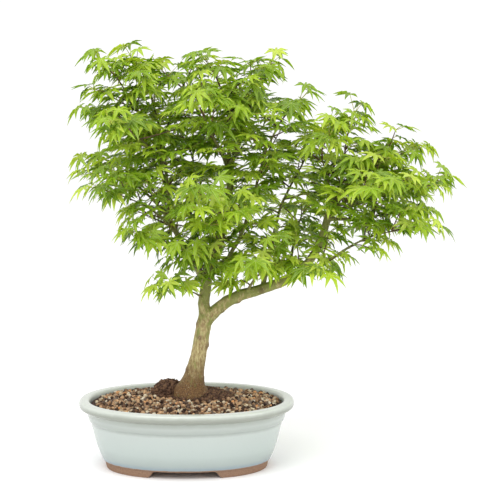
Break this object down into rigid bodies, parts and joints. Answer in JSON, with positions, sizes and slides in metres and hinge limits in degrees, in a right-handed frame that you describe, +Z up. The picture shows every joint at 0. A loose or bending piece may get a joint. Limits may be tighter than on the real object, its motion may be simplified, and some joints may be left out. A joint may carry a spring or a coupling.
{
  "type": "bonsai tree in a pot",
  "caption": "Informal Japanese maple bonsai with a forked trunk and a wide leafy canopy, growing in gravel in a shallow oval glazed pot with cut-out feet.",
  "frame": {"origin": "on the table, below the middle of the whole plant's bounding box; the pot's own centre is 109 mm towards -X and 7 mm towards -Y from it", "axes": "+Z up; +X along the pot's long axis, towards the long low limb; +Y towards the back"},
  "size_m": [0.5644, 0.3338, 0.5952],
  "materials": {
    "glazed_stoneware": "celadon glaze with bare clay feet",
    "screen_plastic": "moulded mesh",
    "clip_wire": "brown anodised wire",
    "root_ball_soil": "damp crumbly soil",
    "gravel": "mixed fired clay and pumice grit",
    "maple_bark": "smooth grey-green bark",
    "maple_leaf": "thin satin leaf"
  },
  "bodies": {
    "root": {"pot": "glazed_stoneware", "drainage_screen_left": "screen_plastic", "screen_clip_left": "clip_wire", "drainage_screen_right": "screen_plastic", "screen_clip_right": "clip_wire", "root_ball": "root_ball_soil", "gravel_mix": "gravel", "trunk_and_limbs": "maple_bark", "crown_left_shoot_1": "maple_leaf", "crown_left_shoot_2": "maple_leaf", "crown_middle_shoot_1": "maple_leaf", "crown_middle_shoot_2": "maple_leaf", "crown_right_shoot_1": "maple_leaf", "crown_right_shoot_2": "maple_leaf", "crown_right_shoot_3": "maple_leaf", "crown_back_shoot_1": "maple_leaf", "crown_front_shoot_1": "maple_leaf", "crown_front_shoot_2": "maple_leaf", "inner_straight_shoot_1": "maple_leaf", "inner_straight_shoot_2": "maple_leaf", "inner_dark_shoot_1": "maple_leaf", "inner_front_shoot_1": "maple_leaf", "inner_front_shoot_2": "maple_leaf", "inner_back_shoot_1": "maple_leaf", "stem_front_shoot_1": "maple_leaf", "left_limb_shoot_1": "maple_leaf", "left_limb_shoot_2": "maple_leaf", "left_top_shoot_1": "maple_leaf", "left_top_shoot_2": "maple_leaf", "left_upper_shoot_1": "maple_leaf", "left_upper_shoot_2": "maple_leaf", "left_middle_shoot_1": "maple_leaf", "left_middle_shoot_2": "maple_leaf", "left_lower_shoot_1": "maple_leaf", "left_lower_shoot_2": "maple_leaf", "left_low_shoot_1": "maple_leaf", "left_back_shoot_1": "maple_leaf", "left_front_shoot_1": "maple_leaf", "low_left_shoot_1": "maple_leaf", "mid_riser_shoot_1": "maple_leaf", "mid_riser_shoot_2": "maple_leaf", "limb_front_shoot_1": "maple_leaf", "limb_front_shoot_2": "maple_leaf", "limb_back_shoot_1": "maple_leaf", "limb_hanging_shoot_1": "maple_leaf", "right_lower_shoot_1": "maple_leaf", "right_lower_shoot_2": "maple_leaf", "right_under_shoot_1": "maple_leaf", "right_outer_shoot_1": "maple_leaf", "right_outer_shoot_2": "maple_leaf", "right_inner_shoot_1": "maple_leaf", "right_inner_shoot_2": "maple_leaf", "right_top_shoot_1": "maple_leaf", "right_top_shoot_2": "maple_leaf", "right_riser_shoot_1": "maple_leaf", "right_crown_shoot_1": "maple_leaf", "right_crown_shoot_2": "maple_leaf", "right_back_shoot_1": "maple_leaf", "right_front_shoot_1": "maple_leaf"}
  },
  "joints": []
}
